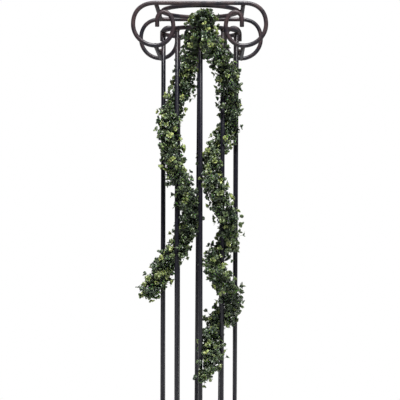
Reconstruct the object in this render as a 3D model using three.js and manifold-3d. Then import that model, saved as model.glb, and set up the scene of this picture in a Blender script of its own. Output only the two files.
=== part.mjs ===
// A garden column stand: a see-through Ionic column welded from round steel bar, with scrolled
// volutes at the top, ten upright bars, rings and a square foot, and a boxwood garland wound
// through its bars. Millimetres, +Z up, front towards -Y. The origin is on the ground, under
// the middle of the column.
import * as THREE from 'three';
import { mergeVertices } from 'three/addons/utils/BufferGeometryUtils.js';
import Module from 'manifold-3d';

// ---- Driving dimensions -----------------------------------------------------------------------

const HEIGHT = 1300; // ground to the top of the capital
const BAR_RADIUS = 6; // every bar is 12 mm round
const BAR_SIDES = 10; // facets round a bar
const JOINT_GAP = 0.3; // left between pieces that are welded or rest on each other

// Capital: two scrolled bars, one at the front and one at the back, joined by side bars. A scroll
// is five quarter turns and a short straight end. The levels are below the top bar.
const CAPITAL_DEPTH = 297; // between the centres of the front and rear volute bars
const VOLUTE_HALF_SPAN = 120.5; // column axis to where the straight top ends, and to the side bars
const FRONT_SCROLL_REACH = 182.9; // column axis to the outermost point of a front scroll
const REAR_SCROLL_REACH = 179.9; // the rear volute was bent a little narrower
const SCROLL_REACH_LEVEL = 58.4;
const SCROLL_DROP = 117.4; // lowest point of a scroll, where it meets the lower side bar
const SCROLL_INSIDE = 72.2; // column axis to the innermost point of a scroll
const SCROLL_INSIDE_LEVEL = 64;
const CURL_CROWN = 98.3; // column axis to the crown of the inner curl
const CURL_CROWN_LEVEL = 25;
const CURL_END = 116.5; // column axis to the straight end of the curl
const CURL_END_LEVEL = 46;
const CURL_CUT_LEVEL = 65.5;
const ROUND = 0.5523; // how far a quarter turn leans into its corner: this much is a circle
const SHOULDER = 0.63; // and this much is the fuller shoulder at the top of the scroll
const QUARTER_STEPS = 8;

// Shaft and rings.
const SHAFT_BARS = 10;
const SHAFT_RADIUS = 109.3; // column axis to the centre of each upright bar
const NECK_DROP = 60.6; // top frame down to the neck ring, which caps the upright bars
const TOP_RING_RADIUS = VOLUTE_HALF_SPAN - 2 * BAR_RADIUS - JOINT_GAP;
const RING_STEPS = 40; // facets round a ring
// How far each upright bar stands off its mark at the top and at the foot, in degrees round the
// column, from the front centre bar towards the right. They are set by eye, and lean a little.
const BAR_OFF_MARK = [
  [1.3, 3.3],
  [0.5, 0.4],
  [0.8, -2.8],
  [2.3, 0.9],
  [-1.1, 2.4],
  [2.2, 4.8],
  [0.6, -0.6],
  [4.5, -0.3],
  [-0.6, 1.2],
  [0.6, 1.9],
];
const STRUT_RADIUS = 4; // short stubs between the shaft and the lower side bars
const STRUT_BARS = [ // each stub's name and the upright bar that it starts from
  ['right_front', 2],
  ['right_rear', 3],
  ['left_rear', 7],
  ['left_front', 8],
];

// Foot.
const FOOT_HALF_SIDE = 148.5; // column axis to the centre of each side of the square foot bar
const FOOT_CORNER_RADIUS = 36;
const FOOT_CORNER_STEPS = 6;
const FOOT_LEVEL = 11; // ground to the centre of the foot bar
const COLLAR_LEVEL = 52; // ground to the centre of the collar ring round the upright bars
const GLIDE_RADIUS = 13;
const GLIDE_HEIGHT = 12;
const GLIDE_CHAMFER = 1.5;
const GLIDE_SIDES = 24;

// Hollows cut where one piece fits round a bar.
const CUTTER_SIDES = 24;
const CUTTER_LENGTH = 20;
const MERGE_TOLERANCE = 1e-4; // corners closer than this are one corner

// Garland: one green wired stem, hooked over the front of the neck ring at its middle, so that
// one half hangs to each side. Each list runs from the hook down to that half's free tip.
const STEM_RADIUS = 2.5;
const STEM_SIDES = 8;
const LEFT_STEM_STEPS = 60;
const RIGHT_STEM_STEPS = 80;
const LEFT_STEM_ROUTE = [
  [6.8, -106.7, 1243],
  [3, -101.5, 1242.6],
  [-1, -96, 1239],
  [-4, -89, 1229],
  [-10, -83, 1204],
  [-20, -79, 1172],
  [-37, -68, 1120],
  [-48, -64, 1065],
  [-71, -67, 1021],
  [-87, -81, 973],
  [-88, -97, 921],
  [-77, -107, 870],
  [-63, -110, 834],
  [-42, -105, 786],
  [-28, -90, 739],
  [-25, -76, 697],
  [-41, -65, 654],
  [-59, -59, 612],
  [-81, -60, 579],
  [-103, -62, 549],
  [-125, -64, 514],
  [-139, -66, 487],
];
const RIGHT_STEM_ROUTE = [
  [7.4, -107.5, 1243],
  [11, -112.5, 1242.6],
  [14, -118, 1239],
  [18, -125, 1228],
  [26, -127, 1194],
  [45, -115, 1156],
  [73, -105, 1117],
  [81, -93, 1077],
  [86, -79, 1035],
  [85, -68, 993],
  [76, -61, 951],
  [58, -63, 910],
  [40, -76, 878],
  [31, -92, 845],
  [34, -107, 806],
  [54, -114, 767],
  [66, -107, 725],
  [79, -89, 683],
  [86, -70, 641],
  [73, -58, 612],
  [49, -63, 595],
  [37, -80, 572],
  [43, -102, 548],
  [64, -112, 525],
  [84, -98, 500],
  [95, -79, 466],
  [76, -61, 426],
  [50, -60, 402],
  [35, -70, 374],
  [35, -86, 340],
  [36, -103, 305],
  [27, -120, 284],
  [18, -127, 268],
];

// ---- Derived levels ---------------------------------------------------------------------------

const TOP_LEVEL = HEIGHT - BAR_RADIUS;
const NECK_LEVEL = TOP_LEVEL - NECK_DROP;
const LOWER_SIDE_LEVEL = TOP_LEVEL - SCROLL_DROP;
const SIDE_BAR_LENGTH = CAPITAL_DEPTH - 2 * (BAR_RADIUS + JOINT_GAP);
const SHAFT_TOP = NECK_LEVEL - BAR_RADIUS - JOINT_GAP;
const SHAFT_BOTTOM = FOOT_LEVEL + BAR_RADIUS + JOINT_GAP;
const COLLAR_RADIUS = SHAFT_RADIUS + 2 * BAR_RADIUS + JOINT_GAP;

// ---- Materials --------------------------------------------------------------------------------

const steel = () => new THREE.MeshStandardMaterial({ color: 0x3a3335, roughness: 0.45, metalness: 0.6 });
const plastic = () => new THREE.MeshStandardMaterial({ color: 0x161616, roughness: 0.6, metalness: 0 });
const stem = () => new THREE.MeshStandardMaterial({ color: 0x2c3d22, roughness: 0.7, metalness: 0 });

// ---- Curves -----------------------------------------------------------------------------------

// Several curves end to end, each with its own number of steps, so that a straight stretch takes
// one step and a tight bend takes many.
class JoinedCurve extends THREE.Curve {
  constructor(pieces) {
    super();
    this.pieces = pieces;
    this.steps = pieces.reduce((sum, piece) => sum + piece.steps, 0);
  }

  locate(t) {
    let at = t * this.steps;
    for (const piece of this.pieces.slice(0, -1)) {
      if (at < piece.steps) return [piece.curve, at / piece.steps];
      at -= piece.steps;
    }
    const last = this.pieces.at(-1);
    return [last.curve, Math.min(1, at / last.steps)];
  }

  getPoint(t) {
    const [curve, local] = this.locate(t);
    return curve.getPoint(local);
  }

  getTangent(t) {
    const [curve, local] = this.locate(t);
    return curve.getTangent(local);
  }

  getPointAt(t) {
    return this.getPoint(t);
  }

  getTangentAt(t) {
    return this.getTangent(t);
  }
}

const X = new THREE.Vector3(1, 0, 0);
const Z = new THREE.Vector3(0, 0, 1);
const point = (x, y, z) => new THREE.Vector3(x, y, z);
const line = (from, to) => ({ curve: new THREE.LineCurve3(from, to), steps: 1 });

// A quarter turn from one point to another, which leaves the first and reaches the second along
// the two sides of the corner between them.
function quarterTurn(from, corner, to, fullness = ROUND, steps = QUARTER_STEPS) {
  const leave = from.clone().lerp(corner, fullness);
  const reach = to.clone().lerp(corner, fullness);
  return { curve: new THREE.CubicBezierCurve3(from, leave, reach, to), steps };
}

// ---- Solids -----------------------------------------------------------------------------------

function regularSection(radius, sides) {
  const corners = [];
  for (let i = 0; i < sides; i += 1) {
    const angle = (i + 0.5) * 2 * Math.PI / sides;
    corners.push(new THREE.Vector2(radius * Math.cos(angle), radius * Math.sin(angle)));
  }
  return new THREE.Shape(corners);
}

function sweptBar(curve, steps, radius = BAR_RADIUS, sides = BAR_SIDES) {
  return new THREE.ExtrudeGeometry(regularSection(radius, sides), { steps, extrudePath: curve });
}

function ring(radius) {
  return new THREE.TorusGeometry(radius, BAR_RADIUS, BAR_SIDES, RING_STEPS);
}

const wasm = await Module();
wasm.setup();

function toSolid(geometry) {
  const plain = geometry.clone();
  plain.deleteAttribute('normal');
  plain.deleteAttribute('uv');
  const merged = mergeVertices(plain, MERGE_TOLERANCE);
  return new wasm.Manifold(new wasm.Mesh({
    numProp: 3,
    vertProperties: new Float32Array(merged.attributes.position.array),
    triVerts: new Uint32Array(merged.index.array),
  }));
}

function toGeometry(solid) {
  const mesh = solid.getMesh();
  const geometry = new THREE.BufferGeometry();
  geometry.setAttribute('position', new THREE.BufferAttribute(mesh.vertProperties, 3));
  geometry.setIndex(new THREE.BufferAttribute(mesh.triVerts, 1));
  geometry.computeVertexNormals();
  return geometry;
}

// ---- Assembly helpers -------------------------------------------------------------------------

const stand = new THREE.Group();

function add(name, geometry, material, parent = stand) {
  const mesh = new THREE.Mesh(geometry, material);
  mesh.name = name;
  parent.add(mesh);
  return mesh;
}

// ---- Capital ----------------------------------------------------------------------------------

// One scroll, from the end of the straight top bar to the cut end of the inner curl. side is 1 on
// the right and -1 on the left, and reach is how far out the scroll goes.
function scroll(side, reach) {
  const at = (across, down) => point(side * across, 0, -down);
  const top = at(VOLUTE_HALF_SPAN, 0);
  const outside = at(reach, SCROLL_REACH_LEVEL);
  const bottom = at(VOLUTE_HALF_SPAN, SCROLL_DROP);
  const inside = at(SCROLL_INSIDE, SCROLL_INSIDE_LEVEL);
  const crown = at(CURL_CROWN, CURL_CROWN_LEVEL);
  const end = at(CURL_END, CURL_END_LEVEL);
  return [
    quarterTurn(top, at(reach, 0), outside, SHOULDER),
    quarterTurn(outside, at(reach, SCROLL_DROP), bottom),
    quarterTurn(bottom, at(SCROLL_INSIDE, SCROLL_DROP), inside),
    quarterTurn(inside, at(SCROLL_INSIDE, CURL_CROWN_LEVEL), crown),
    quarterTurn(crown, at(CURL_END, CURL_CROWN_LEVEL), end),
    line(end, at(CURL_END, CURL_CUT_LEVEL)),
  ];
}

// The same pieces, run the other way.
function reversed(pieces) {
  return pieces.map(({ curve, steps }) => {
    const ends = curve.isLineCurve3 ? [curve.v2, curve.v1] : [curve.v3, curve.v2, curve.v1, curve.v0];
    return { curve: new curve.constructor(...ends), steps };
  }).reverse();
}

function voluteBar(reach) {
  const top = line(point(-VOLUTE_HALF_SPAN, 0, 0), point(VOLUTE_HALF_SPAN, 0, 0));
  const curve = new JoinedCurve([...reversed(scroll(-1, reach)), top, ...scroll(1, reach)]);
  return sweptBar(curve, curve.steps);
}

function addCapital() {
  const capital = new THREE.Group();
  capital.position.z = TOP_LEVEL;
  stand.add(capital);
  for (const [place, way, reach] of [['front', -1, FRONT_SCROLL_REACH], ['rear', 1, REAR_SCROLL_REACH]]) {
    const bar = add(`${place}_volute_bar`, voluteBar(reach), steel(), capital);
    bar.position.y = way * CAPITAL_DEPTH / 2;
  }
  for (const [place, way] of [['left', -1], ['right', 1]]) {
    const upper = new THREE.CylinderGeometry(BAR_RADIUS, BAR_RADIUS, SIDE_BAR_LENGTH, BAR_SIDES);
    add(`${place}_top_side_bar`, upper, steel(), capital).position.x = way * VOLUTE_HALF_SPAN;
    const lower = upper.clone();
    const bar = add(`${place}_lower_side_bar`, lower, steel(), capital);
    bar.position.set(way * VOLUTE_HALF_SPAN, 0, LOWER_SIDE_LEVEL - TOP_LEVEL);
  }
  add('top_ring', ring(TOP_RING_RADIUS), steel(), capital);
}

// ---- Shaft ------------------------------------------------------------------------------------

// The centre of an upright bar at a level.
function barPlace(index, level) {
  const [topOff, footOff] = BAR_OFF_MARK[index];
  const at = (off, height) => {
    const angle = index * 2 * Math.PI / SHAFT_BARS + THREE.MathUtils.degToRad(off);
    return point(SHAFT_RADIUS * Math.sin(angle), -SHAFT_RADIUS * Math.cos(angle), height);
  };
  const foot = at(footOff, SHAFT_BOTTOM);
  return foot.lerp(at(topOff, SHAFT_TOP), (level - SHAFT_BOTTOM) / (SHAFT_TOP - SHAFT_BOTTOM));
}

function addShaft() {
  const shaft = new THREE.Group();
  stand.add(shaft);
  for (let i = 0; i < SHAFT_BARS; i += 1) {
    const foot = barPlace(i, SHAFT_BOTTOM);
    const run = barPlace(i, SHAFT_TOP).sub(foot);
    const length = run.length();
    const geometry = new THREE.CylinderGeometry(BAR_RADIUS, BAR_RADIUS, length, BAR_SIDES)
      .rotateX(Math.PI / 2)
      .translate(0, 0, length / 2);
    const bar = add(`shaft_bar_${String(i + 1).padStart(2, '0')}`, geometry, steel(), shaft);
    bar.position.copy(foot);
    bar.quaternion.setFromUnitVectors(Z, run.normalize());
  }
  add('neck_ring', ring(SHAFT_RADIUS), steel(), shaft).position.z = NECK_LEVEL;
  add('collar_ring', ring(COLLAR_RADIUS), steel(), shaft).position.z = COLLAR_LEVEL;
  add('foot_ring', ring(SHAFT_RADIUS), steel(), shaft).position.z = FOOT_LEVEL;
}

// Stubs between the lower side bars and the four upright bars nearest to them, hollowed at both
// ends to fit round the bars they are welded to.
function addStruts() {
  const clearance = BAR_RADIUS + JOINT_GAP;
  for (const [name, index] of STRUT_BARS) {
    const place = barPlace(index, LOWER_SIDE_LEVEL);
    const side = Math.sign(place.x);
    const span = VOLUTE_HALF_SPAN - Math.abs(place.x);
    const middle = side * (Math.abs(place.x) + span / 2);
    const blank = new THREE.CylinderGeometry(STRUT_RADIUS, STRUT_RADIUS, span, BAR_SIDES)
      .rotateZ(Math.PI / 2)
      .translate(middle, place.y, LOWER_SIDE_LEVEL);
    const upright = new THREE.CylinderGeometry(clearance, clearance, CUTTER_LENGTH, CUTTER_SIDES)
      .rotateX(Math.PI / 2)
      .translate(place.x, place.y, LOWER_SIDE_LEVEL);
    const sideBar = new THREE.CylinderGeometry(clearance, clearance, CUTTER_LENGTH, CUTTER_SIDES)
      .translate(side * VOLUTE_HALF_SPAN, place.y, LOWER_SIDE_LEVEL);
    const strut = toSolid(blank).subtract(toSolid(upright)).subtract(toSolid(sideBar));
    add(`${name}_strut`, toGeometry(strut), steel());
  }
}

// ---- Foot -------------------------------------------------------------------------------------

// The square foot is one bar bent at four corners, whose ends meet in the middle of the rear side.
function footCurve() {
  const straight = FOOT_HALF_SIDE - FOOT_CORNER_RADIUS;
  const pieces = [];
  for (let i = 0; i < 4; i += 1) {
    const turn = Math.PI / 2 - i * Math.PI / 2; // the side in hand faces this way
    const out = X.clone().applyAxisAngle(Z, turn);
    const along = X.clone().applyAxisAngle(Z, turn - Math.PI / 2);
    const at = (a, b) => point(0, 0, 0).addScaledVector(out, a).addScaledVector(along, b);
    if (i === 0) pieces.push(line(at(FOOT_HALF_SIDE, JOINT_GAP / 2), at(FOOT_HALF_SIDE, straight)));
    else pieces.push(line(at(FOOT_HALF_SIDE, -straight), at(FOOT_HALF_SIDE, straight)));
    const bendStart = at(FOOT_HALF_SIDE, straight);
    const bendEnd = at(straight, FOOT_HALF_SIDE);
    const corner = at(FOOT_HALF_SIDE, FOOT_HALF_SIDE);
    pieces.push(quarterTurn(bendStart, corner, bendEnd, ROUND, FOOT_CORNER_STEPS));
  }
  const back = (x) => point(x, FOOT_HALF_SIDE, 0);
  pieces.push(line(back(-straight), back(-JOINT_GAP / 2)));
  return new JoinedCurve(pieces);
}

function addFoot() {
  const foot = new THREE.Group();
  foot.position.z = FOOT_LEVEL;
  stand.add(foot);
  const curve = footCurve();
  add('foot_frame', sweptBar(curve, curve.steps), steel(), foot);

  const spokeLength = FOOT_HALF_SIDE - SHAFT_RADIUS;
  const clearance = BAR_RADIUS + JOINT_GAP;
  const hollow = new THREE.TorusGeometry(SHAFT_RADIUS, clearance, CUTTER_SIDES, 2 * RING_STEPS);
  const ringCutter = toSolid(hollow);
  for (const [place, turn] of [['front', -90], ['right', 0], ['rear', 90], ['left', 180]]) {
    const blank = new THREE.CylinderGeometry(STRUT_RADIUS, STRUT_RADIUS, spokeLength, BAR_SIDES)
      .rotateZ(Math.PI / 2)
      .translate(SHAFT_RADIUS + spokeLength / 2, 0, 0);
    const sideBar = new THREE.CylinderGeometry(clearance, clearance, CUTTER_LENGTH, CUTTER_SIDES)
      .translate(FOOT_HALF_SIDE, 0, 0);
    const spoke = toSolid(blank).subtract(ringCutter).subtract(toSolid(sideBar));
    const bar = add(`${place}_foot_spoke`, toGeometry(spoke), steel(), foot);
    bar.rotation.z = THREE.MathUtils.degToRad(turn);
  }
  addGlides(foot, curve);
}

// Moulded glides pressed up round the foot bar at its corners. The stand rests on their flat
// undersides.
function addGlides(foot, curve) {
  const barCutter = toSolid(sweptBar(curve, curve.steps, BAR_RADIUS + JOINT_GAP, CUTTER_SIDES));
  const reach = FOOT_HALF_SIDE - FOOT_CORNER_RADIUS + FOOT_CORNER_RADIUS * Math.SQRT1_2;
  const low = -FOOT_LEVEL;
  const high = GLIDE_HEIGHT - FOOT_LEVEL;
  const profile = [
    [0, low],
    [GLIDE_RADIUS - GLIDE_CHAMFER, low],
    [GLIDE_RADIUS, low + GLIDE_CHAMFER],
    [GLIDE_RADIUS, high - GLIDE_CHAMFER],
    [GLIDE_RADIUS - GLIDE_CHAMFER, high],
    [0, high],
  ].map(([radius, level]) => new THREE.Vector2(radius, level));
  for (const [place, x, y] of [
    ['front_left', -1, -1],
    ['front_right', 1, -1],
    ['rear_right', 1, 1],
    ['rear_left', -1, 1],
  ]) {
    const disc = new THREE.LatheGeometry(profile, GLIDE_SIDES).rotateX(Math.PI / 2)
      .translate(x * reach, y * reach, 0);
    add(`${place}_glide`, toGeometry(toSolid(disc).subtract(barCutter)), plastic(), foot);
  }
}

// ---- Garland ----------------------------------------------------------------------------------

function addGarland() {
  for (const [name, route, steps] of [
    ['garland_left_stem', LEFT_STEM_ROUTE, LEFT_STEM_STEPS],
    ['garland_right_stem', RIGHT_STEM_ROUTE, RIGHT_STEM_STEPS],
  ]) {
    const curve = new THREE.CatmullRomCurve3(route.map((place) => point(...place)));
    add(name, sweptBar(curve, steps, STEM_RADIUS, STEM_SIDES), stem());
  }
}

addCapital();
addShaft();
addStruts();
addFoot();
addGarland();

export default stand;
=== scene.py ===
"""A garden column stand in dark painted round bar, with a boxwood garland wound through it.

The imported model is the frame. Places come from its nodes and from the stand's own driving
dimensions. Metres, +Z up, front towards -Y.
"""
import math
import random

import bpy
import numpy as np
from mathutils import Matrix, Vector, noise


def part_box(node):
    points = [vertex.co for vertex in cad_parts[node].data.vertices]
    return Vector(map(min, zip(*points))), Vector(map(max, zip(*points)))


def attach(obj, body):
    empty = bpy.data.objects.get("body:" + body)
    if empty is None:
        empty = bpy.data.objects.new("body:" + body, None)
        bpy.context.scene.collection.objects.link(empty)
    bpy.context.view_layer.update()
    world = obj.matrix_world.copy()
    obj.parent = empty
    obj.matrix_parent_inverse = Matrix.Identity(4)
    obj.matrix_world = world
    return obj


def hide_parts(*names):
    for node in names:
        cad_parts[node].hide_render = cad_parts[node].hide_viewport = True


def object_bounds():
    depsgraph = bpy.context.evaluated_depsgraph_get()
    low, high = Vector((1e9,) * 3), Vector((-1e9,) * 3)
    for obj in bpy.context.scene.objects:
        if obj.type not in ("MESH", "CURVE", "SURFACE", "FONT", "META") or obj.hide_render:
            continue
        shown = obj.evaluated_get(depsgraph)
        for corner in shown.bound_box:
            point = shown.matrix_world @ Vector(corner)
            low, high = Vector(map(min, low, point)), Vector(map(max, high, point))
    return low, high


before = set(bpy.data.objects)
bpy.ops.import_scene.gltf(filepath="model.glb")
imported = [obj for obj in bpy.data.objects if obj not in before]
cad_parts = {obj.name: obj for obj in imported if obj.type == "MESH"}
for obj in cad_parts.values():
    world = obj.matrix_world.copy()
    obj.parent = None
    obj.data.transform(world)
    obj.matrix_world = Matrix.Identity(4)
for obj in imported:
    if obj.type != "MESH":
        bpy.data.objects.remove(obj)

CAD_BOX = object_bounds()
BODY = "root"

# ---- Driving dimensions ---------------------------------------------------------------------------

BAR_RADIUS = 0.006
BAR_SIDES = 28  # round the fine bars
STRUT_RADIUS = 0.004
CUT_BEVEL = 0.0006  # on a bar's cut end
WELD_BITE = 0.0012  # how far a bar's end runs into the bar that it is welded to
UP = (0.0, 0.0, 1.0)

# One scroll, as (distance from the column's middle, distance below the top bar), quarter turn by
# quarter turn, with how far each turn leans into its corner.
SCROLL_START = (0.1205, 0.0)
SCROLL_OUTSIDE_LEVEL = 0.0584
SCROLL_BOTTOM = (0.1205, 0.1174)
SCROLL_INSIDE = (0.0722, 0.064)
CURL_CROWN = (0.0983, 0.025)
CURL_END = (0.1165, 0.046)
CURL_CUT = (0.1165, 0.0655)
ROUND, SHOULDER = 0.5523, 0.63
TURN_STEPS = 22
FOOT_CORNER_RADIUS = 0.036
RING_STEPS = 144

# The garland's stem, hooked over the front of the neck ring. Each route runs from the hook down
# to a free tip.
STEM_DIAMETER = 0.005
LEFT_STEM_ROUTE = [
    (0.0068, -0.1067, 1.243),
    (0.003, -0.1015, 1.2426),
    (-0.001, -0.096, 1.239),
    (-0.004, -0.089, 1.229),
    (-0.01, -0.083, 1.204),
    (-0.02, -0.079, 1.172),
    (-0.037, -0.068, 1.12),
    (-0.048, -0.064, 1.065),
    (-0.071, -0.067, 1.021),
    (-0.087, -0.081, 0.973),
    (-0.088, -0.097, 0.921),
    (-0.077, -0.107, 0.87),
    (-0.063, -0.11, 0.834),
    (-0.042, -0.105, 0.786),
    (-0.028, -0.09, 0.739),
    (-0.025, -0.076, 0.697),
    (-0.041, -0.065, 0.654),
    (-0.059, -0.059, 0.612),
    (-0.081, -0.06, 0.579),
    (-0.103, -0.062, 0.549),
    (-0.125, -0.064, 0.514),
    (-0.139, -0.066, 0.487),
]
RIGHT_STEM_ROUTE = [
    (0.0074, -0.1075, 1.243),
    (0.011, -0.1125, 1.2426),
    (0.014, -0.118, 1.239),
    (0.018, -0.125, 1.228),
    (0.026, -0.127, 1.194),
    (0.045, -0.115, 1.156),
    (0.073, -0.105, 1.117),
    (0.081, -0.093, 1.077),
    (0.086, -0.079, 1.035),
    (0.085, -0.068, 0.993),
    (0.076, -0.061, 0.951),
    (0.058, -0.063, 0.91),
    (0.04, -0.076, 0.878),
    (0.031, -0.092, 0.845),
    (0.034, -0.107, 0.806),
    (0.054, -0.114, 0.767),
    (0.066, -0.107, 0.725),
    (0.079, -0.089, 0.683),
    (0.086, -0.07, 0.641),
    (0.073, -0.058, 0.612),
    (0.049, -0.063, 0.595),
    (0.037, -0.08, 0.572),
    (0.043, -0.102, 0.548),
    (0.064, -0.112, 0.525),
    (0.084, -0.098, 0.5),
    (0.095, -0.079, 0.466),
    (0.076, -0.061, 0.426),
    (0.05, -0.06, 0.402),
    (0.035, -0.07, 0.374),
    (0.035, -0.086, 0.34),
    (0.036, -0.103, 0.305),
    (0.027, -0.12, 0.284),
    (0.018, -0.127, 0.268),
]

# Foliage.
SPRIG_SPACING = 0.00142
SPRIG_LENGTH = (0.013, 0.033)
SPRIG_LEAN = (-0.2, 0.6)  # towards the strand's tip
OLD_SHARE, OLD_SPRIG, NEW_SPRIG = 0.72, (0.1, 0.7), (0.65, 1.0)  # how new a sprig's leaves are
CREST_LENGTH = 0.04  # of each strand, from the hook
CREST_SPRIGS = 64
CREST_SPREAD = 0.6  # sideways for each step up
CREST_TOP = 1.266  # level of the highest twig's end
FOLIAGE_PROUD = 0.016  # how far foliage may stand in front of the steel
FOLIAGE_FRONT = CAD_BOX[0].y - FOLIAGE_PROUD
TAIL_LENGTH = 0.11
LEAF_LENGTH = 0.0145
LEAF_PAIR_SPACING = 0.0085
LEAF_THICKNESS = 0.00035
LEAF_CLEARANCE = 0.0004
LEAVES_IN_A_PIECE = 3000
LEAF_TURN, LEAF_ROLL = 0.12, 0.22  # how unevenly a leaf points and faces
LEAF_WIDTH, LEAF_FOLD, LEAF_CURL = (0.92, 1.12), (0.0, 0.3), (0.0, 0.2)
LEAF_ARCH = 0.06
SPRIG_SIZE, SPRIG_BEND, SPRIG_STRAY = (0.85, 1.12), (-0.1, 0.45), 0.12
PAIR_OPEN, PAIR_SIZE = (0.9, 1.25), (0.85, 1.12)  # angle off the twig, and size of a pair's leaf
ROSETTE_OPEN, ROSETTE_SIZE = (0.45, 0.95), (0.62, 0.98)
TIP_START, TIP_LEAN, TIP_LEAN_RATE = 0.02, 1.2, 30  # sprigs fold forward over a strand's tip
TIP_TAPER, TIP_TAPER_LENGTH = 0.2, 0.04
STEM_SURFACE = 0.002  # where a sprig starts, off the stem's middle
TWIG_CLEARANCE = 0.001
TWIG_POINTS, TWIG_SIDES = 5, 5
TWIG_RADII = (0.00075, 0.00045)  # at its root and its tip
ROSETTE_LEAVES = 4
CREST_REACH = (0.014, 0.044)
TAIL_REACH = (0.02, 0.034)
SEEDS = {"left": 11, "right": 23}
TAIL_SPRIGS = {"left": 34, "right": 0}
GOLDEN_ANGLE = math.radians(137.5)


# ---- Camera, lights and stage ---------------------------------------------------------------------

CAMERA_LENS, CAMERA_SENSOR = 106.74, 36.0
CAMERA_DISTANCE = 3.41  # from the column's axis
CAMERA_HEIGHT = CAD_BOX[1].z - BAR_RADIUS - 0.542
CAMERA_AZIMUTH = math.radians(0.81)  # round the column, towards the right
CAMERA_TURN = math.radians(0.019)
CAMERA_ROLL = math.radians(0.22)
LIGHTS = [  # name, place, aim, size, power
    ("key_light", (0.3, -1.9, 4.0), (0, 0, 0.8), (0.8, 0.8), 360),
    ("strip_light", (2.1, -1.9, 2.8), (0, 0, 1.2), (0.35, 0.9), 13),
    ("top_light", (0.0, 0.4, 3.6), (0, 0, 0.9), (1.6, 1.6), 50),
]
ROOM_TURN = (-0.3, 0.6)  # how far towards the back the room turns from dark to light
ROOM_LIGHT = (0.07, 0.38)
FLOOR_HALF_SIDE = 40.0
FLOOR_WHITENING = (0.55, 1.0)  # distances from the stand between which the paper turns pure white


def add_camera():
    data = bpy.data.cameras.new("camera")
    data.lens, data.sensor_width = CAMERA_LENS, CAMERA_SENSOR
    data.clip_end = 200
    camera = bpy.data.objects.new("camera", data)
    bpy.context.scene.collection.objects.link(camera)
    place = Vector((math.sin(CAMERA_AZIMUTH), -math.cos(CAMERA_AZIMUTH), 0)) * CAMERA_DISTANCE
    camera.location = place + Vector((0, 0, CAMERA_HEIGHT))
    heading = Matrix.Rotation(CAMERA_AZIMUTH - CAMERA_TURN, 4, "Z")
    level = Matrix.Rotation(math.pi / 2, 4, "X")
    camera.rotation_euler = (heading @ level @ Matrix.Rotation(CAMERA_ROLL, 4, "Z")).to_euler()
    bpy.context.scene.camera = camera


def area_light(name, place, aim, size, power):
    data = bpy.data.lights.new(name, "AREA")
    data.shape = "RECTANGLE"
    data.size, data.size_y = size
    data.energy = power
    light = bpy.data.objects.new(name, data)
    bpy.context.scene.collection.objects.link(light)
    light.location = place
    light.rotation_euler = (Vector(aim) - Vector(place)).to_track_quat("-Z", "Y").to_euler()


def add_lights():
    for light in LIGHTS:
        area_light(*light)


def add_world():
    """White paper behind and beside the stand, and a darker room on the side that it is seen from."""
    world = bpy.data.worlds.new("studio")
    bpy.context.scene.world = world
    world.use_nodes = True
    world.node_tree.nodes.clear()
    n = Nodes(world.node_tree, "Generated")
    heading = n.add("SeparateXYZ")
    n.link(n.place, heading.inputs[0])
    seen, lighting, both = n.add("Background"), n.add("Background"), n.add("MixShader")
    seen.inputs["Color"].default_value = (1, 1, 1, 1)
    lighting.inputs["Color"].default_value = (0.95, 0.97, 1, 1)
    n.link(n.spread(heading.outputs["Y"], *ROOM_TURN, *ROOM_LIGHT), lighting.inputs["Strength"])
    n.link(n.add("LightPath").outputs["Is Camera Ray"], both.inputs["Fac"])
    n.link(lighting.outputs[0], both.inputs[1])
    n.link(seen.outputs[0], both.inputs[2])
    n.link(both.outputs[0], n.add("OutputWorld").inputs["Surface"])


def add_floor():
    """Pale paper that turns pure white away from the stand, so that it has no far edge."""
    half = FLOOR_HALF_SIDE
    mesh = bpy.data.meshes.new("floor")
    corners = [(-half, -half, 0), (half, -half, 0), (half, half, 0), (-half, half, 0)]
    mesh.from_pydata(corners, [], [(0, 1, 2, 3)])
    floor = bpy.data.objects.new("floor", mesh)
    bpy.context.scene.collection.objects.link(floor)
    material, shader, tree = new_material("floor_paper")
    n = Nodes(tree)
    distance = n.add("VectorMath", operation="LENGTH")
    n.link(n.place, distance.inputs[0])
    white = n.spread(distance.outputs["Value"], *FLOOR_WHITENING)
    seen = n.add("LightPath").outputs["Is Camera Ray"]
    blank = n.math("MULTIPLY", white, seen)
    n.link(blank, shader.inputs["Emission Strength"])
    paper = n.mix(n.noise(350, 4), (0.66, 0.66, 0.66), (0.71, 0.71, 0.71))
    n.link(n.mix(blank, paper, (0, 0, 0)), shader.inputs["Base Color"])
    shader.inputs["Specular IOR Level"].default_value = 0
    shader.inputs["Emission Color"].default_value = (1, 1, 1, 1)
    shader.inputs["Roughness"].default_value = 0.9
    mesh.materials.append(material)


# ---- Materials ------------------------------------------------------------------------------------


def new_material(name):
    material = bpy.data.materials.new(name)
    material.use_nodes = True
    tree = material.node_tree
    return material, tree.nodes["Principled BSDF"], tree


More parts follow.
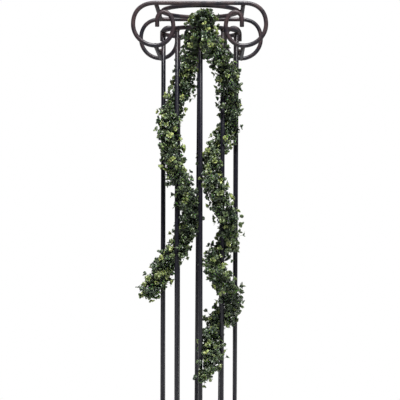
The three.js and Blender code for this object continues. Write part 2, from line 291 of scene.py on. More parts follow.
class Nodes:
    """Short calls for a material's nodes."""

    def __init__(self, tree, place="Object"):
        self.tree = tree
        self.place = self.add("TexCoord").outputs[place]

    def add(self, kind, **settings):
        node = self.tree.nodes.new("ShaderNode" + kind)
        for key, value in settings.items():
            setattr(node, key, value)
        return node

    def link(self, source, target):
        self.tree.links.new(source, target)

    def noise(self, scale, detail=3.0, roughness=0.5, vector=None):
        node = self.add("TexNoise")
        node.inputs["Scale"].default_value = scale
        node.inputs["Detail"].default_value = detail
        node.inputs["Roughness"].default_value = roughness
        self.link(vector or self.place, node.inputs["Vector"])
        return node.outputs["Fac"]

    def spread(self, value, low, high, to_low=0.0, to_high=1.0, smooth=True):
        node = self.add("MapRange", interpolation_type="SMOOTHSTEP" if smooth else "LINEAR")
        self.link(value, node.inputs["Value"])
        for name, number in (("From Min", low), ("From Max", high), ("To Min", to_low), ("To Max", to_high)):
            node.inputs[name].default_value = number
        return node.outputs["Result"]

    def mix(self, factor, first, second):
        node = self.add("Mix", data_type="RGBA")
        for socket, value in ((node.inputs[0], factor), (node.inputs[6], first), (node.inputs[7], second)):
            if isinstance(value, (int, float)):
                socket.default_value = value
            elif isinstance(value, tuple):
                socket.default_value = (*value, 1)
            else:
                self.link(value, socket)
        return node.outputs[2]

    def math(self, operation, first, second=0.0):
        node = self.add("Math", operation=operation)
        for socket, value in zip(node.inputs, (first, second)):
            if isinstance(value, (int, float)):
                socket.default_value = value
            else:
                self.link(value, socket)
        return node.outputs[0]

    def bump(self, height, strength, distance):
        node = self.add("Bump")
        node.inputs["Strength"].default_value = strength
        node.inputs["Distance"].default_value = distance
        self.link(height, node.inputs["Height"])
        return node.outputs["Normal"]


def painted_steel():
    """Black-brown satin paint: rubbed browner on the capital, with dust and fine orange peel."""
    material, shader, tree = new_material("painted_steel")
    n = Nodes(tree)
    level = n.add("SeparateXYZ")
    n.link(n.place, level.inputs[0])
    high = n.spread(level.outputs["Z"], 1.12, 1.24, 0.02, 0.62)
    patches = n.spread(n.noise(26, 4, 0.6), 0.35, 0.62)
    brown = n.math("MULTIPLY", patches, high)
    base = n.mix(brown, (0.0044, 0.0046, 0.0086), (0.046, 0.027, 0.026))
    mottled = n.mix(n.spread(n.noise(160, 5, 0.65), 0.3, 0.7), base, n.mix(0.07, base, (0.06, 0.05, 0.055)))
    flecks = n.spread(n.noise(900, 2, 0.5), 0.69, 0.75)
    worn = n.math("MULTIPLY", flecks, n.spread(n.noise(45, 2), 0.45, 0.65))
    n.link(n.mix(worn, mottled, (0.09, 0.075, 0.07)), shader.inputs["Base Color"])
    shader.inputs["Specular IOR Level"].default_value = 0.24
    satin = n.spread(n.noise(70, 4, 0.6), 0.3, 0.7, 0.25, 0.38)
    n.link(n.math("ADD", satin, n.math("MULTIPLY", high, 0.18)), shader.inputs["Roughness"])
    peel = n.math("ADD", n.noise(620, 3, 0.55), n.math("MULTIPLY", n.noise(130, 3), 1.3))
    n.link(n.bump(peel, 0.15, 0.0004), shader.inputs["Normal"])
    return material


def weld_steel():
    """The same paint over weld beads: darker, rougher and more uneven."""
    material, shader, tree = new_material("painted_weld")
    n = Nodes(tree)
    colour = n.mix(n.spread(n.noise(300, 4, 0.6), 0.35, 0.65), (0.013, 0.011, 0.012), (0.045, 0.028, 0.024))
    n.link(colour, shader.inputs["Base Color"])
    shader.inputs["Specular IOR Level"].default_value = 0.3
    n.link(n.spread(n.noise(420, 3), 0.3, 0.7, 0.42, 0.62), shader.inputs["Roughness"])
    n.link(n.bump(n.noise(800, 4, 0.6), 0.4, 0.0006), shader.inputs["Normal"])
    return material


def glide_plastic():
    material, shader, tree = new_material("glide_plastic")
    n = Nodes(tree)
    scuffed = n.spread(n.noise(240, 4, 0.7), 0.5, 0.75)
    n.link(n.mix(scuffed, (0.017, 0.017, 0.018), (0.06, 0.058, 0.055)), shader.inputs["Base Color"])
    n.link(n.spread(n.noise(90, 3), 0.3, 0.7, 0.5, 0.68), shader.inputs["Roughness"])
    n.link(n.bump(n.noise(1400, 2), 0.3, 0.0003), shader.inputs["Normal"])
    return material


def stem_plastic():
    """Green tape wound round a wire core."""
    material, shader, tree = new_material("garland_stem")
    n = Nodes(tree)
    turns = n.add("TexWave", wave_type="BANDS", bands_direction="Z")
    turns.inputs["Scale"].default_value = 90
    turns.inputs["Distortion"].default_value = 1.5
    n.link(n.place, turns.inputs["Vector"])
    shade = n.mix(n.spread(n.noise(120, 4), 0.3, 0.7), (0.020, 0.036, 0.014), (0.055, 0.085, 0.032))
    n.link(n.mix(turns.outputs["Fac"], shade, (0.045, 0.060, 0.025)), shader.inputs["Base Color"])
    shader.inputs["Roughness"].default_value = 0.62
    n.link(n.bump(turns.outputs["Fac"], 0.5, 0.0006), shader.inputs["Normal"])
    return material


def twig_plastic():
    material, shader, tree = new_material("garland_twig")
    n = Nodes(tree)
    n.link(n.mix(n.spread(n.noise(150, 3), 0.3, 0.7), (0.045, 0.075, 0.022), (0.10, 0.13, 0.045)),
           shader.inputs["Base Color"])
    shader.inputs["Roughness"].default_value = 0.55
    n.link(n.bump(n.noise(1500, 2), 0.2, 0.0003), shader.inputs["Normal"])
    return material


LEAF_COLOURS = [
    (0.00, (0.015, 0.026, 0.022)),
    (0.30, (0.030, 0.046, 0.031)),
    (0.55, (0.060, 0.083, 0.038)),
    (0.78, (0.145, 0.178, 0.060)),
    (1.00, (0.280, 0.315, 0.100)),
]


def leaf_plastic():
    """Moulded boxwood leaves. Each has its own tone, from old and blue-green to new and yellow-green,
    with a pale midrib, faint side veins and a lighter rim."""
    material, shader, tree = new_material("garland_leaf")
    n = Nodes(tree)
    tone = n.add("Attribute", attribute_name="tone").outputs["Fac"]
    ramp = n.add("ValToRGB")
    stops = ramp.color_ramp.elements
    while len(stops) < len(LEAF_COLOURS):
        stops.new(0.5)
    for stop, (position, colour) in zip(stops, LEAF_COLOURS):
        stop.position, stop.color = position, (*colour, 1)
    uneven = n.math("ADD", tone, n.spread(n.noise(330, 3, 0.6), 0.2, 0.8, -0.10, 0.10))
    n.link(uneven, ramp.inputs["Fac"])
    uv = n.add("UVMap", uv_map="leaf").outputs["UV"]
    parts = n.add("SeparateXYZ")
    n.link(uv, parts.inputs[0])
    across = n.math("ABSOLUTE", n.math("SUBTRACT", parts.outputs["X"], 0.5))
    rib = n.spread(across, 0.015, 0.06, 1.0, 0.0)
    rim = n.spread(across, 0.40, 0.5, 0.0, 1.0)
    herring = n.math("SUBTRACT", parts.outputs["Y"], n.math("MULTIPLY", across, 0.7))
    veins = n.math("POWER", n.math("ABSOLUTE", n.math("SINE", n.math("MULTIPLY", herring, 20.0))), 8.0)
    base = n.mix(n.math("MULTIPLY", rib, 0.45), ramp.outputs["Color"], (0.20, 0.27, 0.09))
    base = n.mix(n.math("MULTIPLY", rim, 0.18), base, (0.25, 0.31, 0.10))
    base = n.mix(n.math("MULTIPLY", veins, 0.10), base, (0.16, 0.22, 0.07))
    n.link(base, shader.inputs["Base Color"])
    n.link(n.spread(n.noise(500, 3), 0.3, 0.7, 0.30, 0.46), shader.inputs["Roughness"])
    shader.inputs["Subsurface Weight"].default_value = 0.12
    shader.inputs["Subsurface Radius"].default_value = (0.6, 1.0, 0.25)
    shader.inputs["Subsurface Scale"].default_value = 0.0015
    height = n.math("SUBTRACT", n.math("MULTIPLY", veins, 0.25), n.math("MULTIPLY", rib, 0.8))
    n.link(n.bump(height, 0.35, 0.0004), shader.inputs["Normal"])
    return material


# ---- Making meshes --------------------------------------------------------------------------------


def piece(name, vertices, faces, material, slot, stands_for=()):
    """A finished mesh that rides on the stand."""
    mesh = bpy.data.meshes.new(name)
    mesh.from_pydata([tuple(v) for v in vertices], [], faces)
    mesh.validate()
    mesh.shade_smooth()
    mesh.materials.append(material)
    obj = bpy.data.objects.new(name, mesh)
    bpy.context.scene.collection.objects.link(obj)
    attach(obj, BODY)
    if stands_for:
        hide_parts(*stands_for)
    return obj


def frames_along(points, closed=False):
    """A tangent and two cross directions at each point, turning as little as they can."""
    points = np.asarray(points, float)
    if closed:
        tangents = np.roll(points, -1, 0) - np.roll(points, 1, 0)
    else:
        tangents = np.gradient(points, axis=0)
    tangents /= np.linalg.norm(tangents, axis=1, keepdims=True)
    start = np.array([0.0, 0.0, 1.0]) if abs(tangents[0][2]) < 0.9 else np.array([1.0, 0.0, 0.0])
    across = np.empty_like(points)
    for i, tangent in enumerate(tangents):
        start = start - tangent * start.dot(tangent)
        start /= np.linalg.norm(start)
        across[i] = start
    return points, tangents, across, np.cross(tangents, across)


def tube(points, radius, sides=BAR_SIDES, closed=False, bevel=CUT_BEVEL):
    """Vertices and faces of a round bar along points, with its cut ends bevelled."""
    points, tangents, one, two = frames_along(points, closed)
    radii = np.full(len(points), float(radius)) if np.isscalar(radius) else np.asarray(radius, float)
    if not closed and bevel:
        ends = [points[0] + tangents[0] * bevel, points[-1] - tangents[-1] * bevel]
        points = np.concatenate([points[:1], ends[:1], points[1:-1], ends[1:], points[-1:]])
        repeat = [0, 0, *range(1, len(radii) - 1), len(radii) - 1, len(radii) - 1]
        one, two, radii = one[repeat], two[repeat], radii[repeat].copy()
        radii[0] -= bevel
        radii[-1] -= bevel
    angles = np.arange(sides) * 2 * math.pi / sides
    circle = np.cos(angles)[None, :, None] * one[:, None] + np.sin(angles)[None, :, None] * two[:, None]
    vertices = (points[:, None] + circle * radii[:, None, None]).reshape(-1, 3)
    faces = []
    rings = len(points)
    for i in range(rings if closed else rings - 1):
        for j in range(sides):
            a, b = i * sides + j, i * sides + (j + 1) % sides
            c, d = (i + 1) % rings * sides + (j + 1) % sides, (i + 1) % rings * sides + j
            faces.append((a, b, c, d))
    if not closed:
        faces.append(tuple(reversed(range(sides))))
        faces.append(tuple(range((rings - 1) * sides, rings * sides)))
    return vertices, faces


def join(parts):
    """One set of vertices and faces from several."""
    vertices, faces, start = [], [], 0
    for some_vertices, some_faces in parts:
        vertices.append(np.asarray(some_vertices))
        faces += [tuple(i + start for i in face) for face in some_faces]
        start += len(some_vertices)
    return np.concatenate(vertices), faces


# ---- Steel ----------------------------------------------------------------------------------------


def quarter_turn(start, corner, end, fullness=ROUND, steps=TURN_STEPS):
    """Points of a bend that leaves start and reaches end along the two sides of a corner."""
    start, corner, end = (np.array(p, float) for p in (start, corner, end))
    leave, reach = start + (corner - start) * fullness, end + (corner - end) * fullness
    t = np.linspace(0, 1, steps + 1)[:, None]
    return (1 - t) ** 3 * start + 3 * (1 - t) ** 2 * t * leave + 3 * (1 - t) * t * t * reach + t ** 3 * end


def scroll_outline(reach):
    """The right scroll as (across, down) points, from the top bar to the cut end."""
    outside = (reach, SCROLL_OUTSIDE_LEVEL)
    turns = [
        quarter_turn(SCROLL_START, (reach, SCROLL_START[1]), outside, SHOULDER),
        quarter_turn(outside, (reach, SCROLL_BOTTOM[1]), SCROLL_BOTTOM),
        quarter_turn(SCROLL_BOTTOM, (SCROLL_INSIDE[0], SCROLL_BOTTOM[1]), SCROLL_INSIDE),
        quarter_turn(SCROLL_INSIDE, (SCROLL_INSIDE[0], CURL_CROWN[1]), CURL_CROWN),
        quarter_turn(CURL_CROWN, (CURL_END[0], CURL_CROWN[1]), CURL_END),
        np.array([CURL_END, CURL_CUT]),
    ]
    return np.concatenate([turns[0]] + [turn[1:] for turn in turns[1:]])


def node_points(name):
    points = np.array([v.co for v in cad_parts[name].data.vertices], float)
    return np.unique(points.round(6), axis=0)


def bar_ends(name):
    """The middles of a straight bar's two ends, the lower or left or front one first."""
    points = node_points(name)
    axis = int(np.argmax(np.ptp(points, axis=0)))
    middle = (points[:, axis].max() + points[:, axis].min()) / 2
    return points[points[:, axis] < middle].mean(axis=0), points[points[:, axis] > middle].mean(axis=0)


def middle(name):
    low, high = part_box(name)
    return np.array((low + high) / 2)


def ring_size(name):
    """A ring's middle and radius."""
    low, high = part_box(name)
    return middle(name), (high.x - low.x) / 2 - BAR_RADIUS


def circle_points(centre, radius, steps=RING_STEPS):
    angles = np.arange(steps) * 2 * math.pi / steps
    return np.stack([np.cos(angles) * radius, np.sin(angles) * radius, np.zeros(steps)], axis=1) + centre


SHAFT_BARS = [f"shaft_bar_{i:02d}" for i in range(1, 11)]
SIDE_BARS = [f"{side}_{level}_side_bar" for side in ("left", "right") for level in ("top", "lower")]
RINGS = ["top_ring", "neck_ring", "collar_ring", "foot_ring"]
STRUTS = [f"{side}_{end}_strut" for side in ("left", "right") for end in ("front", "rear")]
SPOKES = [f"{place}_foot_spoke" for place in ("front", "right", "rear", "left")]
VOLUTES = ["front_volute_bar", "rear_volute_bar"]
TOP_LEVEL = CAD_BOX[1].z - BAR_RADIUS


def volute_points(name):
    y = middle(name)[1]
    outline = scroll_outline(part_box(name)[1].x - BAR_RADIUS)
    right = [(across, y, TOP_LEVEL - down) for across, down in outline]
    left = [(-across, y, TOP_LEVEL - down) for across, down in outline[::-1]]
    return np.array(left + right)


def foot_points():
    low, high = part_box("foot_frame")
    half = (high.x - low.x) / 2 - BAR_RADIUS
    straight = half - FOOT_CORNER_RADIUS
    level = middle("foot_frame")[2]
    points = []
    for turn in range(4):
        bend = quarter_turn((half, -straight), (half, -half), (straight, -half))
        spin = np.array([[math.cos(turn * math.pi / 2), math.sin(turn * math.pi / 2)],
                         [-math.sin(turn * math.pi / 2), math.cos(turn * math.pi / 2)]])
        points += [(*(spin @ p), level) for p in bend]
    return np.array(points)


def lengthened(ends, extra):
    first, last = ends
    along = (last - first) / np.linalg.norm(last - first)
    return np.array([first - along * extra, last + along * extra])


def add_bars(steel):
    for name in VOLUTES:
        piece("steel_" + name, *tube(volute_points(name), BAR_RADIUS), steel, "painted_steel", [name])
    for name in SIDE_BARS + SHAFT_BARS:
        piece("steel_" + name, *tube(lengthened(bar_ends(name), WELD_BITE), BAR_RADIUS), steel,
              "painted_steel", [name])
    for name in RINGS:
        piece("steel_" + name, *tube(circle_points(*ring_size(name)), BAR_RADIUS, closed=True), steel,
              "painted_steel", [name])
    for name in STRUTS + SPOKES:
        piece("steel_" + name, *tube(short_bar(name), STRUT_RADIUS), steel, "painted_steel", [name])
    piece("steel_foot_frame", *tube(foot_points(), BAR_RADIUS, closed=True), steel, "painted_steel",
          ["foot_frame"])


def short_bar(name):
    """The two ends of a strut or spoke, inside the bars that it joins."""
    low, high = (np.array(corner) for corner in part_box(name))
    axis = int(np.argmax(high - low))
    ends = np.array([(low + high) / 2] * 2)
    ends[:, axis] = low[axis] + WELD_BITE, high[axis] - WELD_BITE
    return ends


# ---- Welds ----------------------------------------------------------------------------------------


# Weld sizes. A bead is a ring of weld, and a blob is a tack beside a ring's notch.
BEAD_STEPS, BEAD_SIDES = 44, 10
BLOB_STEPS, BLOB_ROWS = 20, 12
SIDE_BEAD, SIDE_BEAD_SINK, SIDE_BEAD_SHIFT = 0.0017, 0.0002, 0.0006
SHAFT_BEAD, SHAFT_BEAD_SINK, SHAFT_BEAD_SHIFT = 0.0018, 0.0001, 0.0008
SMALL_BEAD, SMALL_BEAD_SHIFT = 0.0016, 0.002  # on struts and spokes
FOOT_BEAD, FOOT_BEAD_SINK, FOOT_BEAD_SQUASH = 0.0011, 0.0004, 1.8
TOP_TACK, TOP_TACK_LIFT, TOP_TACK_GAP = (0.013, 0.0024, 0.0014), 0.0031, 0.0002
COLLAR_TACK, COLLAR_TACK_LIFT = (0.0038, 0.0028, 0.0021), 0.0034


def bead(centre, axis, radius, thickness, seed, squash=1.0):
    """A rippled ring of weld round a bar's end. squash flattens it along its axis."""
    axis = Vector(axis).normalized()
    one = axis.orthogonal().normalized()
    two = axis.cross(one)
    steps, sides = BEAD_STEPS, BEAD_SIDES
    vertices = []
    ripples = 13 + seed % 5
    for i in range(steps):
        turn = i * 2 * math.pi / steps
        out = one * math.cos(turn) + two * math.sin(turn)
        wobble = noise.noise(Vector((math.cos(turn) * 1.7, math.sin(turn) * 1.7, seed * 3.1)))
        thick = thickness * (1 + 0.14 * math.sin(ripples * turn) + 0.45 * wobble)
        for j in range(sides):
            round_ = j * 2 * math.pi / sides
            place = out * (radius + thick * math.cos(round_)) + axis * (thick * squash * math.sin(round_))
            vertices.append(Vector(centre) + place)
    faces = []
    for i in range(steps):
        for j in range(sides):
            k, m = (i + 1) % steps, (j + 1) % sides
            faces.append((i * sides + j, k * sides + j, k * sides + m, i * sides + m))
    return [tuple(v) for v in vertices], faces


def blob(centre, along, up, size, seed):
    """A lump of tack weld, size = (half length, half width, half height)."""
    along, up = Vector(along).normalized(), Vector(up).normalized()
    across = up.cross(along)
    steps, rows = BLOB_STEPS, BLOB_ROWS
    vertices = [Vector(centre) - along * size[0]]
    for i in range(1, rows):
        lean = math.pi * i / rows
        for j in range(steps):
            turn = j * 2 * math.pi / steps
            unit = Vector((-math.cos(lean), math.sin(lean) * math.cos(turn), math.sin(lean) * math.sin(turn)))
            lump = 1 + 0.28 * noise.noise(unit * 1.6 + Vector((seed * 2.3, 0, seed)))
            lump += 0.06 * math.sin(9 * unit.x + seed)
            place = along * unit.x * size[0] + across * unit.y * size[1] + up * unit.z * size[2]
            vertices.append(Vector(centre) + place * lump)
    vertices.append(Vector(centre) + along * size[0])
    faces = [(0, 1 + (j + 1) % steps, 1 + j) for j in range(steps)]
    for i in range(rows - 2):
        for j in range(steps):
            a, b = 1 + i * steps + j, 1 + i * steps + (j + 1) % steps
            faces.append((a, b, b + steps, a + steps))
    last = len(vertices) - 1
    start = 1 + (rows - 2) * steps
    faces += [(last, start + j, start + (j + 1) % steps) for j in range(steps)]
    return [tuple(v) for v in vertices], faces


def capital_welds():
    parts = []
    for seed, name in enumerate(SIDE_BARS):
        for end, way in zip(bar_ends(name), (-1, 1)):
            place = end - np.array([0, way * SIDE_BEAD_SHIFT, 0])
            parts.append(bead(place, (0, 1, 0), BAR_RADIUS - SIDE_BEAD_SINK, SIDE_BEAD, seed * 2 + way))
    centre, radius = ring_size("top_ring")
    for seed, side in enumerate((-1, 1)):
        notch = centre + np.array([side * (radius + BAR_RADIUS + TOP_TACK_GAP), 0, 0])
        for lift in (-TOP_TACK_LIFT, TOP_TACK_LIFT):
            parts.append(blob(notch + np.array([0, 0, lift]), (0, 1, 0), UP, TOP_TACK,
                              seed * 5 + lift * 1000))
    for seed, name in enumerate(STRUTS):
        low, high = (np.array(corner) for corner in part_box(name))
        for x, way in ((low[0], 1), (high[0], -1)):
            place = (x + way * SMALL_BEAD_SHIFT, (low[1] + high[1]) / 2, (low[2] + high[2]) / 2)
            parts.append(bead(place, (1, 0, 0), STRUT_RADIUS, SMALL_BEAD, seed * 3 + way + 20))
    return join(parts)


def shaft_end_welds():
    parts = []
    shift, radius = np.array([0, 0, SHAFT_BEAD_SHIFT]), BAR_RADIUS - SHAFT_BEAD_SINK
    for seed, name in enumerate(SHAFT_BARS):
        foot, top = bar_ends(name)
        parts.append(bead(top - shift, UP, radius, SHAFT_BEAD, seed))
        parts.append(bead(foot + shift, UP, radius, SHAFT_BEAD, seed + 30))
    return join(parts)


def collar_welds():
    parts = []
    centre, radius = ring_size("collar_ring")
    for seed, name in enumerate(SHAFT_BARS):
        foot, top = bar_ends(name)
        at = foot + (top - foot) * (centre[2] - foot[2]) / (top[2] - foot[2])
        out = np.array([at[0], at[1], 0]) / math.hypot(at[0], at[1])
        notch = np.array([0, 0, centre[2]]) + out * (radius - BAR_RADIUS)
        for lift in (-COLLAR_TACK_LIFT, COLLAR_TACK_LIFT):
            parts.append(blob(notch + np.array([0, 0, lift]), (-out[1], out[0], 0), UP, COLLAR_TACK,
                              seed * 7 + lift * 1000))
    return join(parts)


def foot_welds():
    parts = []
    for seed, name in enumerate(SPOKES):
        low, high = (np.array(corner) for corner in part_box(name))
        axis = int(np.argmax(high - low))
        direction = np.eye(3)[axis]
        centre = (low + high) / 2
        for end, way in ((low, 1), (high, -1)):
            place = centre.copy()
            place[axis] = end[axis] + way * SMALL_BEAD_SHIFT
            parts.append(bead(place, direction, STRUT_RADIUS, SMALL_BEAD, seed * 4 + way + 50))
    rear = middle("foot_frame") + np.array([0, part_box("foot_frame")[1].y - BAR_RADIUS, 0])
    parts.append(bead(rear, (1, 0, 0), BAR_RADIUS - FOOT_BEAD_SINK, FOOT_BEAD, 71,
                      squash=FOOT_BEAD_SQUASH))
    return join(parts)


def add_welds(material):
    for name, made in (
        ("capital_welds", capital_welds()),
        ("shaft_end_welds", shaft_end_welds()),
        ("collar_welds", collar_welds()),
        ("foot_welds", foot_welds()),
    ):
        piece(name, *made, material, "painted_steel")


# ---- Glides ---------------------------------------------------------------------------------------


def finish_glides(material):
    """The glides keep their CAD shape, with rounded edges."""
    for corner in ("front_left", "front_right", "rear_right", "rear_left"):
        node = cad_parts[corner + "_glide"]
        node.data.materials.clear()
        node.data.materials.append(material)
        rounded = node.modifiers.new("rounded", "BEVEL")
        rounded.width, rounded.segments, rounded.limit_method = CUT_BEVEL, 3, "ANGLE"
        rounded.angle_limit = math.radians(30)


# ---- Garland --------------------------------------------------------------------------------------


ROUTE_STEPS = 60  # between two points of a route, before the points are spaced evenly
ROUTE_SPACING = 0.0025


def smooth_route(route):
    """Evenly spaced points on the centripetal Catmull-Rom curve through a route."""
    route = np.array(route, float)
    padded = np.concatenate([[2 * route[0] - route[1]], route, [2 * route[-1] - route[-2]]])
    found = []
    for i in range(1, len(padded) - 2):
        p = padded[i - 1:i + 3]
        gaps = np.sqrt(np.linalg.norm(np.diff(p, axis=0), axis=1))
        first = (p[1] - p[0]) / gaps[0] - (p[2] - p[0]) / (gaps[0] + gaps[1]) + (p[2] - p[1]) / gaps[1]
        last = (p[2] - p[1]) / gaps[1] - (p[3] - p[1]) / (gaps[1] + gaps[2]) + (p[3] - p[2]) / gaps[2]
        first, last = first * gaps[1], last * gaps[1]
        t = np.linspace(0, 1, ROUTE_STEPS, endpoint=False)[:, None]
        found.append(
            (2 * t ** 3 - 3 * t ** 2 + 1) * p[1] + (t ** 3 - 2 * t ** 2 + t) * first
            + (3 * t ** 2 - 2 * t ** 3) * p[2] + (t ** 3 - t ** 2) * last
        )
    dense = np.concatenate(found + [route[-1:]])
    along = np.concatenate([[0], np.cumsum(np.linalg.norm(np.diff(dense, axis=0), axis=1))])
    at = np.linspace(0, along[-1], int(along[-1] / ROUTE_SPACING) + 1)
    return np.stack([np.interp(at, along, dense[:, k]) for k in range(3)], axis=1), float(along[-1])


def stem_curve(name, points, material, stands_for):
    curve = bpy.data.curves.new(name, "CURVE")
    curve.dimensions = "3D"
    curve.bevel_depth, curve.bevel_resolution, curve.use_fill_caps = STEM_DIAMETER / 2, 4, True
    spline = curve.splines.new("POLY")
    spline.points.add(len(points) - 1)
    spline.points.foreach_set("co", np.concatenate([points, np.ones((len(points), 1))], axis=1).ravel())
    curve.materials.append(material)
    obj = bpy.data.objects.new(name, curve)
    bpy.context.scene.collection.objects.link(obj)
    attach(obj, BODY)
    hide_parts(stands_for)
    return obj


class Obstacles:
    """The steel that leaves and twigs keep clear of, as straight bars and rings. The scrolls' bends,
    the struts and the foot are left out, since no foliage comes near them."""

    def __init__(self):
        self.bars = [bar_ends(name) for name in SHAFT_BARS + SIDE_BARS]
        self.rings = [ring_size(name) for name in RINGS]
        for name in VOLUTES:
            reach = SCROLL_START[0]
            self.bars.append(tuple(middle(name) * (1, 1, 0) + (x, 0, TOP_LEVEL) for x in (-reach, reach)))

    def clear(self, points, gap):
        """For each set of points, whether all of it is outside the steel. points is sets x points x 3."""
        shape = points.shape[:2]
        flat = points.reshape(-1, 3)
        nearest = np.full(len(flat), np.inf)
        for first, last in self.bars:
            along = last - first
            t = np.clip((flat - first) @ along / along.dot(along), 0, 1)
            nearest = np.minimum(nearest, np.linalg.norm(flat - first - t[:, None] * along, axis=1))
        for centre, radius in self.rings:
            out = np.hypot(flat[:, 0] - centre[0], flat[:, 1] - centre[1]) - radius
            nearest = np.minimum(nearest, np.hypot(out, flat[:, 2] - centre[2]))
        return (nearest.reshape(shape) > BAR_RADIUS + gap).all(axis=1)


# A leaf lies along +Y with its upper side towards +Z. Each station is (along, half width), as
# shares of its length.
LEAF_STATIONS = [(0.12, 0.10), (0.32, 0.28), (0.56, 0.385), (0.79, 0.36), (0.94, 0.215)]


def leaf_template():
    """(across, along, is_bottom) of each vertex, the faces, and each vertex's texture place."""
    places = [(0.0, 0.0, 0.0)]
    for along, half in LEAF_STATIONS:
        places += [(-half, along, 0.0), (half, along, 0.0), (0.0, along, 0.0), (0.0, along, 1.0)]
    places.append((0.0, 0.985, 0.0))
    tip = len(places) - 1
    faces = [(0, 2, 3), (0, 3, 1), (0, 4, 2), (0, 1, 4)]
    for i in range(len(LEAF_STATIONS) - 1):
        a, b = 1 + 4 * i, 5 + 4 * i
        faces += [(a + 2, a + 1, b + 1, b + 2), (a, a + 2, b + 2, b)]
        faces += [(a + 1, a + 3, b + 3, b + 1), (a + 3, a, b, b + 3)]
    a = tip - 4
    faces += [(a + 2, a + 1, tip), (a, a + 2, tip), (a + 1, a + 3, tip), (a + 3, a, tip)]
    texture = [(0.5 + 0.5 * np.sign(x), y) for x, y, _ in places]
    return np.array(places), faces, np.array(texture)


LEAF_PLACES, LEAF_FACES, LEAF_TEXTURE = leaf_template()


def leaf_vertices(base, along, normal, length, width, fold, curl):
    """The vertices of one leaf, folded along its midrib and curled along its length."""
    along = along / np.linalg.norm(along)
    normal = normal - along * normal.dot(along)
    normal /= np.linalg.norm(normal)
    across = np.cross(along, normal)
    x, y, bottom = LEAF_PLACES.T
    rise = fold * np.abs(x) - curl * y * y + LEAF_ARCH * np.sin(math.pi * y)
    shift = x * width * length
    local = rise * length - bottom * LEAF_THICKNESS
    return base + np.outer(shift, across) + np.outer(y * length, along) + np.outer(local, normal)


class Foliage:
    """Gathers a strand's leaves and twigs, with each leaf's tone."""

    def __init__(self, seed):
        self.random = random.Random(seed)
        self.leaves, self.tones, self.twigs = [], [], []

    def between(self, low, high):
        return self.random.uniform(low, high)

    def jitter(self, size):
        return np.array([self.random.gauss(0, size) for _ in range(3)])

    def leaf(self, base, along, normal, length, tone):
        self.leaves.append(leaf_vertices(
            base, along + self.jitter(LEAF_TURN), normal + self.jitter(LEAF_ROLL), length,
            self.between(*LEAF_WIDTH), self.between(*LEAF_FOLD), self.between(*LEAF_CURL),
        ))
        self.tones.append(min(1.0, max(0.0, tone)))

    def sprig(self, start, direction, length):
        """A twig with crossed pairs of leaves and a rosette at its tip."""
        newness = self.between(*OLD_SPRIG) if self.random.random() < OLD_SHARE else self.between(*NEW_SPRIG)
        size = self.between(*SPRIG_SIZE)
        bend = np.array([0, 0, self.between(*SPRIG_BEND)]) * length
        bend += self.jitter(SPRIG_STRAY) * length
        t = np.linspace(0, 1, TWIG_POINTS)[:, None]
        line = start + direction * length * t + bend * t * t
        tangent = direction * length + 2 * bend * t
        tangent /= np.linalg.norm(tangent, axis=1, keepdims=True)
        self.twigs.append(line)
        side = np.cross(tangent[0], self.jitter(1.0))
        side /= np.linalg.norm(side)
        pairs = max(1, round(length / LEAF_PAIR_SPACING) - 1)
        for k in range(pairs):
            place = 0.34 + 0.5 * k / pairs + self.between(-0.03, 0.03)
            point = np.array([np.interp(place, t[:, 0], line[:, c]) for c in range(3)])
            axis = np.array([np.interp(place, t[:, 0], tangent[:, c]) for c in range(3)])
            side = np.cross(axis, side)
            side /= np.linalg.norm(side)
            tone = newness * (0.25 + 0.45 * place) + self.between(-0.10, 0.12)
            for way in (-1, 1):
                open_ = self.between(*PAIR_OPEN)
                along = side * way * math.sin(open_) + axis * math.cos(open_)
                scale = self.between(*PAIR_SIZE) * (1.04 - 0.12 * k)
                self.leaf(point, along, axis, LEAF_LENGTH * size * scale, tone + self.between(-0.05, 0.05))
        side = np.cross(tangent[-1], side)
        other = np.cross(tangent[-1], side)
        for k in range(ROSETTE_LEAVES):
            turn = k * 2 * math.pi / ROSETTE_LEAVES + 0.4
            out = side * math.cos(turn) + other * math.sin(turn)
            open_ = self.between(*ROSETTE_OPEN)
            along = out * math.sin(open_) + tangent[-1] * math.cos(open_)
            tone = newness * 0.95 + self.between(-0.12, 0.10)
            scale = self.between(*ROSETTE_SIZE)
            self.leaf(line[-1], along, tangent[-1] - along * 0.2, LEAF_LENGTH * size * scale, tone)

    def add_pieces(self, name, obstacles, leaf_material, twig_material):
        leaves = np.array(self.leaves)
        kept = obstacles.clear(leaves, LEAF_CLEARANCE) & (leaves[:, :, 1] > FOLIAGE_FRONT).all(axis=1)
        leaves, tones = leaves[kept], np.array(self.tones)[kept]
        made = []
        for k in range(0, len(leaves), LEAVES_IN_A_PIECE):
            part = slice(k, k + LEAVES_IN_A_PIECE)
            numbered = f"{name}_leaves_{len(made) + 1}"
            made.append(leaf_piece(numbered, leaves[part], tones[part], leaf_material))
        twigs = np.array(self.twigs)
        twigs = twigs[obstacles.clear(twigs, TWIG_CLEARANCE) & (twigs[:, :, 1] > FOLIAGE_FRONT).all(axis=1)]
        tubes = [tube(line, np.linspace(*TWIG_RADII, TWIG_POINTS), TWIG_SIDES, bevel=0) for line in twigs]
        made.append(piece(name + "_twigs", *join(tubes), twig_material, "garland_stem"))
        return made


def leaf_piece(name, leaves, tones, material):
    count = leaves.shape[1]
    faces = [tuple(i + n * count for i in face) for n in range(len(leaves)) for face in LEAF_FACES]
    foliage = piece(name, leaves.reshape(-1, 3), faces, material, "garland_leaf")
    tone = foliage.data.attributes.new("tone", "FLOAT", "POINT")
    tone.data.foreach_set("value", np.repeat(tones, count).astype(np.float32))
    texture = foliage.data.uv_layers.new(name="leaf")
    corner_vertex = np.zeros(len(foliage.data.loops), np.int32)
    foliage.data.loops.foreach_get("vertex_index", corner_vertex)
    texture.data.foreach_set("uv", LEAF_TEXTURE[corner_vertex % count].astype(np.float32).ravel())
    return foliage


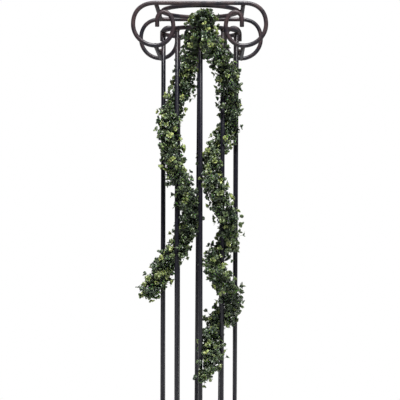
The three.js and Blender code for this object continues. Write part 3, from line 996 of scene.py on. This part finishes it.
def grow(foliage, points, length, tail_sprigs):
    """Sprigs all the way down a strand, a bunch at its crest, and more round its tail."""
    points, tangents, one, two = frames_along(points)
    step = length / (len(points) - 1)
    count = int(length / SPRIG_SPACING)
    for k in range(count):
        at = (k + foliage.between(-0.3, 0.3)) / count * length
        i = min(len(points) - 1, max(0, round(at / step)))
        left = length - at
        turn = k * GOLDEN_ANGLE + foliage.between(-0.5, 0.5)
        out = one[i] * math.cos(turn) + two[i] * math.sin(turn)
        lean = foliage.between(*SPRIG_LEAN)
        if left < TIP_START:
            lean = max(lean, TIP_LEAN - left * TIP_LEAN_RATE)
        taper = 1 - TIP_TAPER + TIP_TAPER * min(1.0, left / TIP_TAPER_LENGTH)
        reach = foliage.between(*SPRIG_LENGTH) * taper
        direction = out * math.cos(lean) + tangents[i] * math.sin(lean)
        foliage.sprig(points[i] + out * STEM_SURFACE, direction, reach)
    for k in range(CREST_SPRIGS):
        at = CREST_LENGTH * foliage.random.random() ** 1.6
        start = points[round(at / step)]
        sideways = foliage.between(-CREST_SPREAD, CREST_SPREAD)
        direction = np.array([sideways, foliage.random.gauss(-0.1, 0.4), 1.0])
        direction /= np.linalg.norm(direction)
        reach = min(foliage.between(*CREST_REACH), (CREST_TOP - start[2]) / (direction[2] + 0.2))
        foliage.sprig(start, direction, reach)
    for k in range(tail_sprigs):
        i = round((length - TAIL_LENGTH * foliage.random.random()) / step)
        out = one[i] * math.cos(k * GOLDEN_ANGLE) + two[i] * math.sin(k * GOLDEN_ANGLE)
        direction = out + tangents[i] * foliage.between(0, 0.5)
        foliage.sprig(points[i], direction, foliage.between(*TAIL_REACH))


def add_garland():
    obstacles = Obstacles()
    leaf, twig, stem = leaf_plastic(), twig_plastic(), stem_plastic()
    for side, route in (("left", LEFT_STEM_ROUTE), ("right", RIGHT_STEM_ROUTE)):
        points, length = smooth_route(route)
        cord = stem_curve(f"garland_{side}_cord", points, stem, f"garland_{side}_stem")
        foliage = Foliage(SEEDS[side])
        grow(foliage, points, length, TAIL_SPRIGS[side])
        made = foliage.add_pieces(f"garland_{side}", obstacles, leaf, twig)


# ---- Build ----------------------------------------------------------------------------------------

bpy.context.scene.view_settings.view_transform = "Standard"
add_camera()
add_lights()
add_world()
add_floor()
steel = painted_steel()
add_bars(steel)
add_welds(weld_steel())
finish_glides(glide_plastic())
add_garland()
